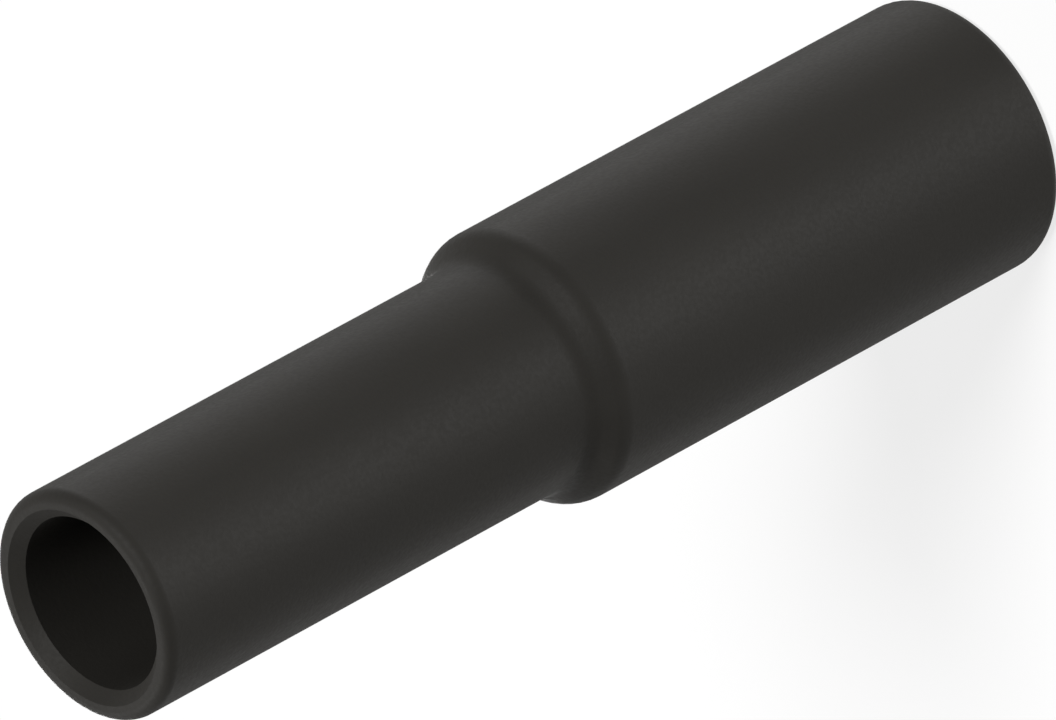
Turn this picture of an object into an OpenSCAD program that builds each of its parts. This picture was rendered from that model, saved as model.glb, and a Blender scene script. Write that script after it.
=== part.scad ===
// Stepped push-in sleeve: one hollow moulding with a plain round stub at each
// end. Each stub pushes into a push-fit fitting of its own tube size, as a
// piece of tube would, so the sleeve joins two fittings of different sizes.
// It stands on its large end. The Z axis runs up the bore, and the origin is
// the centre of the large end's face. All sizes are in millimetres.

/* [Large stub] */
// Outside diameter of the large stub, which is the tube size of its fitting
large_d = 12; // [11:0.1:16]
// Length of the large stub, from its end face to the edge of the shoulder
large_len = 25.1; // [10:0.1:60]
// Radius of the rounded rim at the large end
large_rim_r = 0.6; // [0.1:0.05:1.5]

/* [Small stub] */
// Outside diameter of the small stub, which is the tube size of its fitting
small_d = 10; // [9.6:0.1:10.8]
// Length of the small stub, from the foot of the shoulder to its end face
small_len = 23.6; // [10:0.1:60]
// Radius of the rounded rim at the small end
small_rim_r = 0.5; // [0.1:0.05:1]

/* [Shoulder] */
// Angle between the shoulder's cone and the axis, in degrees
shoulder_slope = 45; // [30:1:60]
// Radius that rounds the shoulder's edge over into the large stub
shoulder_edge_r = 1; // [0.2:0.1:2]
// Radius that blends the shoulder's foot into the small stub
shoulder_foot_r = 1.2; // [0.2:0.1:2]

/* [Bore] */
// Diameter of the bore, which runs straight through both stubs
bore_d = 7.5; // [5:0.1:7.8]
// Width of the 45 degree chamfer at each mouth of the bore
mouth_chamfer = 0.5; // [0.1:0.05:0.6]

/* [Hidden] */

// Facets of a full turn
$fn = 180;

// Colour of the moulded black plastic
black_plastic = [0.23, 0.22, 0.21];

// How far the bore's cutter runs past each end face
cut_over = 1;

// Largest share of a flat or sloping stretch that rounding may use up
round_share = 0.9;

large_r = large_d / 2;
small_r = small_d / 2;
bore_r = bore_d / 2;
mouth_r = bore_r + mouth_chamfer;

// The cone of the shoulder, from its foot to its edge
shoulder_h = (large_r - small_r) / tan(shoulder_slope);
shoulder_side = (large_r - small_r) / sin(shoulder_slope);
total_len = large_len + shoulder_h + small_len;

// Each end face leaves its rim this much room
large_rim_max = round_share * (large_r - mouth_r);
small_rim_max = round_share * (small_r - mouth_r);

// The shoulder's two roundings share its sloping side
shoulder_r_max = round_share * shoulder_side / 2 / tan(shoulder_slope / 2);

// Angles of the outline's sides in the plane of radius and height
inward = 180;
up = 90;
down = 270;
up_slope = up + shoulder_slope;
down_slope = down + shoulder_slope;

// Unit step along a side that runs at this angle
function along(angle) = [cos(angle), sin(angle)];

// The piece between a corner and the arc that touches both of its sides. The
// sides leave the corner at the angles from and to. Cutting this piece away
// rounds the corner over, and adding it fills the corner with a blend.
module corner_piece(corner, from, to, r) {
    half = (to - from) / 2;
    side = r / tan(half);
    translate(corner)
        difference() {
            polygon([[0, 0], side * along(from), side * along(to)]);
            translate(r / sin(half) * along(from + half)) circle(r = r);
        }
}

// Half section of the solid sleeve, as radius and height
module outside() {
    large_rim = [large_r, 0];
    shoulder_edge = [large_r, large_len];
    shoulder_foot = [small_r, large_len + shoulder_h];
    small_rim = [small_r, total_len];
    difference() {
        polygon([[0, 0], large_rim, shoulder_edge, shoulder_foot, small_rim, [0, total_len]]);
        corner_piece(large_rim, up, inward, min(large_rim_r, large_rim_max));
        corner_piece(shoulder_edge, up_slope, down, min(shoulder_edge_r, shoulder_r_max));
        corner_piece(small_rim, inward, down, min(small_rim_r, small_rim_max));
    }
    corner_piece(shoulder_foot, down_slope, up + 360, min(shoulder_foot_r, shoulder_r_max));
}

// Half section of the bore, which flares at both of its mouths
module bore() {
    flare_r = mouth_r + cut_over;
    polygon([
        [-cut_over, -cut_over],
        [flare_r, -cut_over],
        [bore_r, mouth_chamfer],
        [bore_r, total_len - mouth_chamfer],
        [flare_r, total_len + cut_over],
        [-cut_over, total_len + cut_over],
    ]);
}

module stepped_sleeve() {
    color(black_plastic)
        rotate_extrude()
            difference() {
                outside();
                bore();
            }
}

stepped_sleeve();
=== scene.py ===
import math

import bpy
from mathutils import Matrix, Vector


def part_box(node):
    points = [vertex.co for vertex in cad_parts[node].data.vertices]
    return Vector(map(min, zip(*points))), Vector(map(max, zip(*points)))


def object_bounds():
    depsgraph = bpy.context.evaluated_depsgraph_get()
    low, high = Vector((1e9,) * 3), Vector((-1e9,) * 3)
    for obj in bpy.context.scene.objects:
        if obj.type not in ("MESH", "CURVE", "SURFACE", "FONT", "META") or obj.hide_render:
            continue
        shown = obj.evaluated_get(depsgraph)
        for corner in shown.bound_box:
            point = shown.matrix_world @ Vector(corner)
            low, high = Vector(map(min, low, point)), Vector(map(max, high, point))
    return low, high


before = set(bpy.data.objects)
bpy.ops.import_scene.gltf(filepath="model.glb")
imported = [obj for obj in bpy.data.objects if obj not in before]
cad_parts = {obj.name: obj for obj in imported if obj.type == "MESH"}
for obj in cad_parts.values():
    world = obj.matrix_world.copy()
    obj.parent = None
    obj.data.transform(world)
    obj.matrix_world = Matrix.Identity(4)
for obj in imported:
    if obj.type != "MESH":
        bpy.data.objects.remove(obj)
cad_low, cad_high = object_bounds()

# Sizes of the sleeve in metres, from the frame where its box gives them
SLEEVE = "stepped_sleeve"
sleeve_low, sleeve_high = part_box(SLEEVE)
LENGTH = sleeve_high[2] - sleeve_low[2]
LARGE_RADIUS = sleeve_high[0]
SMALL_LENGTH = 0.0236
SMALL_RADIUS = 0.005
LARGE_RIM_RADIUS = 0.0006
SMALL_RIM_RADIUS = 0.0005
SHOULDER_SLOPE = math.radians(45)
SHOULDER_EDGE_RADIUS = 0.001
SHOULDER_FOOT_RADIUS = 0.0012
MOUTH_RADIUS = 0.00425

# Camera: a long lens, looking down on the sleeve from its small end, and
# turned about its own axis so that the sleeve runs across the picture
SENSOR_WIDTH = 36
LENS = 861.5
CAMERA_DISTANCE = 1.017
CAMERA_AZIMUTH = math.radians(-90)
CAMERA_ELEVATION = math.radians(36.284)
CAMERA_ROLL = math.radians(118.566)
AIM_HEIGHT = 0.49490 * LENGTH
AIM_SIDE = 0.00019
CLIP_END = 20

# Lamps: name, azimuth and elevation in degrees, and level. At level 1 a lamp
# lights a surface that faces it to about the surface's own colour
LAMPS = (
    ("key", 308, 62, 1),
    ("back_high", 105, 35, 0.275),
    ("back_low", 90, -20, 1),
    ("right_low", 16, -30, 0.25),
    ("front_low", 258, -46, 0.7),
)
LAMP_SPREAD = math.radians(18)

# The surroundings are white to look at or in a reflection. As a light they are
# much weaker
WHITE = (1, 1, 1, 1)
SURROUND_SEEN = 1
SURROUND_LIGHT = 0.05

# Floor: its own colour, and the glow that brings it up to white where it is seen
FLOOR_RADIUS = 0.8
FLOOR_RIM_POINTS = 96
FLOOR_SHADE = 0.2
FLOOR_GLOW = 0.79

# Black moulded plastic. Colours are linear, and lengths are in metres
PLASTIC_DARK = (0.0192, 0.0180, 0.0159)
PLASTIC_LIGHT = (0.0216, 0.0203, 0.0179)
PLASTIC_SPECULAR = 0.1
ROUGHNESS_LOW = 0.57
ROUGHNESS_HIGH = 0.63
GLANCING_START = 0.68
GLANCING_FULL = 0.95
GLANCING_ROUGHNESS = 0.15
GRAIN_SIZE = 0.00018
GRAIN_DETAIL = 2
GRAIN_DEPTH = 0.00001
CLOUD_SIZE = 0.003
CLOUD_DETAIL = 3
FLOW_STRETCH = 0.25

# Most of the noise lies in this range, so what it drives goes from end to end
# over it
NOISE_LOW = 0.35
NOISE_HIGH = 0.65


def add_node(tree, kind, **values):
    """Adds a shader node and sets its attributes by name."""
    node = tree.nodes.new(kind)
    for name, value in values.items():
        setattr(node, name, value)
    return node


def number_math(tree, operation, first, second=None):
    """Each of first and second is a number or a socket."""
    node = add_node(tree, "ShaderNodeMath", operation=operation)
    for socket, value in zip(node.inputs, (first, second)):
        if isinstance(value, (int, float)):
            socket.default_value = value
        elif value is not None:
            tree.links.new(value, socket)
    return node.outputs[0]


def vector_math(tree, operation, first, second=None):
    node = add_node(tree, "ShaderNodeVectorMath", operation=operation)
    tree.links.new(first, node.inputs[0])
    if second is not None:
        tree.links.new(second, node.inputs[1])
    return node


def ramp(tree, value, start, end, low, high):
    """Goes evenly from low to high as the value goes from start to end, and stays level outside."""
    node = add_node(tree, "ShaderNodeMapRange")
    node.inputs["From Min"].default_value = start
    node.inputs["From Max"].default_value = end
    node.inputs["To Min"].default_value = low
    node.inputs["To Max"].default_value = high
    tree.links.new(value, node.inputs["Value"])
    return node.outputs["Result"]


def noise(tree, place, size, detail):
    """Soft noise whose features are about this size, in metres."""
    node = add_node(tree, "ShaderNodeTexNoise")
    node.inputs["Scale"].default_value = 1 / size
    node.inputs["Detail"].default_value = detail
    tree.links.new(place, node.inputs["Vector"])
    return node.outputs["Fac"]


def seen_directly(tree):
    """1 for a ray that shows the background: from the camera, off gloss or through glass."""
    path = add_node(tree, "ShaderNodeLightPath")
    seen = number_math(tree, "MAXIMUM", path.outputs["Is Camera Ray"], path.outputs["Is Glossy Ray"])
    return number_math(tree, "MAXIMUM", seen, path.outputs["Is Transmission Ray"])


def normal_along_axis(tree, height):
    """The part of the outside's normal that points up the sleeve, from -1 to 1.

    It is 0 on the stubs, and over each rounding it changes evenly with height."""
    lean = math.sin(SHOULDER_SLOPE)
    tangent = math.tan(SHOULDER_SLOPE / 2)
    foot = LENGTH - SMALL_LENGTH
    edge = foot - (LARGE_RADIUS - SMALL_RADIUS) / math.tan(SHOULDER_SLOPE)
    edge_start = edge - SHOULDER_EDGE_RADIUS * tangent
    foot_end = foot + SHOULDER_FOOT_RADIUS * tangent
    roundings = (
        (edge_start, edge_start + SHOULDER_EDGE_RADIUS * lean, lean),
        (foot_end - SHOULDER_FOOT_RADIUS * lean, foot_end, -lean),
        (LENGTH - SMALL_RIM_RADIUS, LENGTH, 1),
    )
    along = ramp(tree, height, 0, LARGE_RIM_RADIUS, -1, 0)
    for start, end, change in roundings:
        along = number_math(tree, "ADD", along, ramp(tree, height, start, end, 0, change))
    return along


def outside_normal(tree, height, from_axis):
    """The true normal of the outside, from the height and the way out from the axis."""
    along = normal_along_axis(tree, height)
    rest = number_math(tree, "SUBTRACT", 1, number_math(tree, "MULTIPLY", along, along))
    radial = vector_math(tree, "NORMALIZE", from_axis)
    outwards = vector_math(tree, "SCALE", radial.outputs[0])
    tree.links.new(number_math(tree, "SQRT", rest), outwards.inputs["Scale"])
    upwards = add_node(tree, "ShaderNodeCombineXYZ")
    tree.links.new(along, upwards.inputs["Z"])
    normal = vector_math(tree, "ADD", outwards.outputs[0], upwards.outputs[0])
    to_world = add_node(tree, "ShaderNodeVectorTransform", vector_type="NORMAL")
    to_world.convert_from = "OBJECT"
    to_world.convert_to = "WORLD"
    tree.links.new(normal.outputs[0], to_world.inputs[0])
    return to_world.outputs[0]


def smooth_normal(tree, place):
    """Shades the roundings as round ones, because the mesh draws them with a few flat steps.

    Inside the mouths the mesh's own normal is kept."""
    split = add_node(tree, "ShaderNodeSeparateXYZ")
    tree.links.new(place, split.inputs[0])
    from_axis = add_node(tree, "ShaderNodeCombineXYZ")
    tree.links.new(split.outputs["X"], from_axis.inputs["X"])
    tree.links.new(split.outputs["Y"], from_axis.inputs["Y"])
    radius = vector_math(tree, "LENGTH", from_axis.outputs[0]).outputs["Value"]
    mesh_normal = add_node(tree, "ShaderNodeNewGeometry").outputs["Normal"]
    round_normal = outside_normal(tree, split.outputs["Z"], from_axis.outputs[0])
    chosen = add_node(tree, "ShaderNodeMix", data_type="VECTOR")
    tree.links.new(number_math(tree, "GREATER_THAN", radius, MOUTH_RADIUS), chosen.inputs["Factor"])
    tree.links.new(mesh_normal, chosen.inputs["A"])
    tree.links.new(round_normal, chosen.inputs["B"])
    return chosen.outputs["Result"]


def plastic_colour(tree, place):
    """Faint clouds. The melt ran along the sleeve, so they are longer than they are wide."""
    along_flow = add_node(tree, "ShaderNodeMapping")
    along_flow.inputs["Scale"].default_value = (1, 1, FLOW_STRETCH)
    tree.links.new(place, along_flow.inputs["Vector"])
    clouds = noise(tree, along_flow.outputs["Vector"], CLOUD_SIZE, CLOUD_DETAIL)
    colour = add_node(tree, "ShaderNodeMix", data_type="RGBA")
    colour.inputs["A"].default_value = (*PLASTIC_DARK, 1)
    colour.inputs["B"].default_value = (*PLASTIC_LIGHT, 1)
    tree.links.new(ramp(tree, clouds, NOISE_LOW, NOISE_HIGH, 0, 1), colour.inputs["Factor"])
    return colour.outputs["Result"]


def plastic_roughness(tree, grain, normal):
    """Varies with the grain. The grain blurs reflections most at a glancing angle."""
    glance = add_node(tree, "ShaderNodeLayerWeight")
    tree.links.new(normal, glance.inputs["Normal"])
    blur = ramp(tree, glance.outputs["Facing"], GLANCING_START, GLANCING_FULL, 0, GLANCING_ROUGHNESS)
    roughness = ramp(tree, grain, NOISE_LOW, NOISE_HIGH, ROUGHNESS_LOW, ROUGHNESS_HIGH)
    return number_math(tree, "ADD", roughness, blur)


def black_plastic():
    """Satin black plastic with faint clouds and a fine grain."""
    material = bpy.data.materials.new("satin_black_plastic")
    material.use_nodes = True
    tree = material.node_tree
    place = add_node(tree, "ShaderNodeTexCoord").outputs["Object"]
    grain = noise(tree, place, GRAIN_SIZE, GRAIN_DETAIL)
    normal = smooth_normal(tree, place)
    bump = add_node(tree, "ShaderNodeBump")
    bump.inputs["Distance"].default_value = GRAIN_DEPTH
    tree.links.new(grain, bump.inputs["Height"])
    tree.links.new(normal, bump.inputs["Normal"])

    shader = tree.nodes["Principled BSDF"]
    shader.inputs["Specular IOR Level"].default_value = PLASTIC_SPECULAR
    tree.links.new(plastic_colour(tree, place), shader.inputs["Base Color"])
    tree.links.new(plastic_roughness(tree, grain, normal), shader.inputs["Roughness"])
    tree.links.new(bump.outputs["Normal"], shader.inputs["Normal"])
    return material


def floor_material():
    """White from above. From below it is clear, so that the sleeve's underside can be seen."""
    material = bpy.data.materials.new("pale_floor")
    material.use_nodes = True
    tree = material.node_tree
    tree.nodes.clear()
    matt = add_node(tree, "ShaderNodeBsdfDiffuse")
    matt.inputs["Color"].default_value = (FLOOR_SHADE, FLOOR_SHADE, FLOOR_SHADE, 1)
    glow = add_node(tree, "ShaderNodeEmission")
    glow_level = number_math(tree, "MULTIPLY", seen_directly(tree), FLOOR_GLOW)
    tree.links.new(glow_level, glow.inputs["Strength"])
    white = add_node(tree, "ShaderNodeAddShader")
    tree.links.new(matt.outputs[0], white.inputs[0])
    tree.links.new(glow.outputs[0], white.inputs[1])

    below = add_node(tree, "ShaderNodeNewGeometry").outputs["Backfacing"]
    clear = add_node(tree, "ShaderNodeBsdfTransparent")
    either = add_node(tree, "ShaderNodeMixShader")
    tree.links.new(below, either.inputs["Fac"])
    tree.links.new(white.outputs[0], either.inputs[1])
    tree.links.new(clear.outputs[0], either.inputs[2])
    out = add_node(tree, "ShaderNodeOutputMaterial")
    tree.links.new(either.outputs[0], out.inputs["Surface"])
    return material


def add_floor():
    bpy.ops.mesh.primitive_circle_add(vertices=FLOOR_RIM_POINTS, radius=FLOOR_RADIUS, fill_type="NGON")
    floor = bpy.context.object
    floor.name = "floor"
    floor.location.z = cad_low[2]
    floor.data.materials.append(floor_material())
    # The lamps under the floor shine through it, as through a light table
    floor.visible_shadow = False


def set_world():
    world = bpy.data.worlds.new("studio")
    bpy.context.scene.world = world
    world.use_nodes = True
    tree = world.node_tree
    background = tree.nodes["Background"]
    background.inputs["Color"].default_value = WHITE
    level = add_node(tree, "ShaderNodeMix", data_type="FLOAT")
    level.inputs["A"].default_value = SURROUND_LIGHT
    level.inputs["B"].default_value = SURROUND_SEEN
    tree.links.new(seen_directly(tree), level.inputs["Factor"])
    tree.links.new(level.outputs["Result"], background.inputs["Strength"])


def direction(azimuth, elevation):
    """A vector one unit long. Azimuth 0 is along X, and the angles are in radians."""
    across = math.cos(elevation)
    return Vector((math.cos(azimuth) * across, math.sin(azimuth) * across, math.sin(elevation)))


def add_lamp(name, azimuth, elevation, level):
    """A wide soft lamp far away."""
    lamp = bpy.data.lights.new(name, "SUN")
    lamp.angle = LAMP_SPREAD
    lamp.energy = math.pi * level
    holder = bpy.data.objects.new(name, lamp)
    bpy.context.scene.collection.objects.link(holder)
    towards = direction(math.radians(azimuth), math.radians(elevation))
    holder.rotation_mode = "QUATERNION"
    holder.rotation_quaternion = towards.to_track_quat("Z", "Y")


def add_camera():
    camera = bpy.data.cameras.new("camera")
    camera.sensor_width = SENSOR_WIDTH
    camera.lens = LENS
    camera.clip_end = CLIP_END
    holder = bpy.data.objects.new("camera", camera)
    scene = bpy.context.scene
    scene.collection.objects.link(holder)
    aim = Vector((AIM_SIDE, 0, sleeve_low[2] + AIM_HEIGHT))
    back = direction(CAMERA_AZIMUTH, CAMERA_ELEVATION) * CAMERA_DISTANCE
    # A camera that isn't turned looks straight down, with its top towards Y
    swing = Matrix.Rotation(CAMERA_AZIMUTH + math.pi / 2, 4, "Z")
    tilt = Matrix.Rotation(math.pi / 2 - CAMERA_ELEVATION, 4, "X")
    roll = Matrix.Rotation(-CAMERA_ROLL, 4, "Z")
    holder.matrix_world = Matrix.Translation(aim + back) @ swing @ tilt @ roll
    scene.camera = holder


plastic = black_plastic()
for material_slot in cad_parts[SLEEVE].material_slots:
    material_slot.material = plastic

add_floor()
set_world()
for lamp_values in LAMPS:
    add_lamp(*lamp_values)
add_camera()

bpy.context.scene.view_settings.view_transform = "Standard"
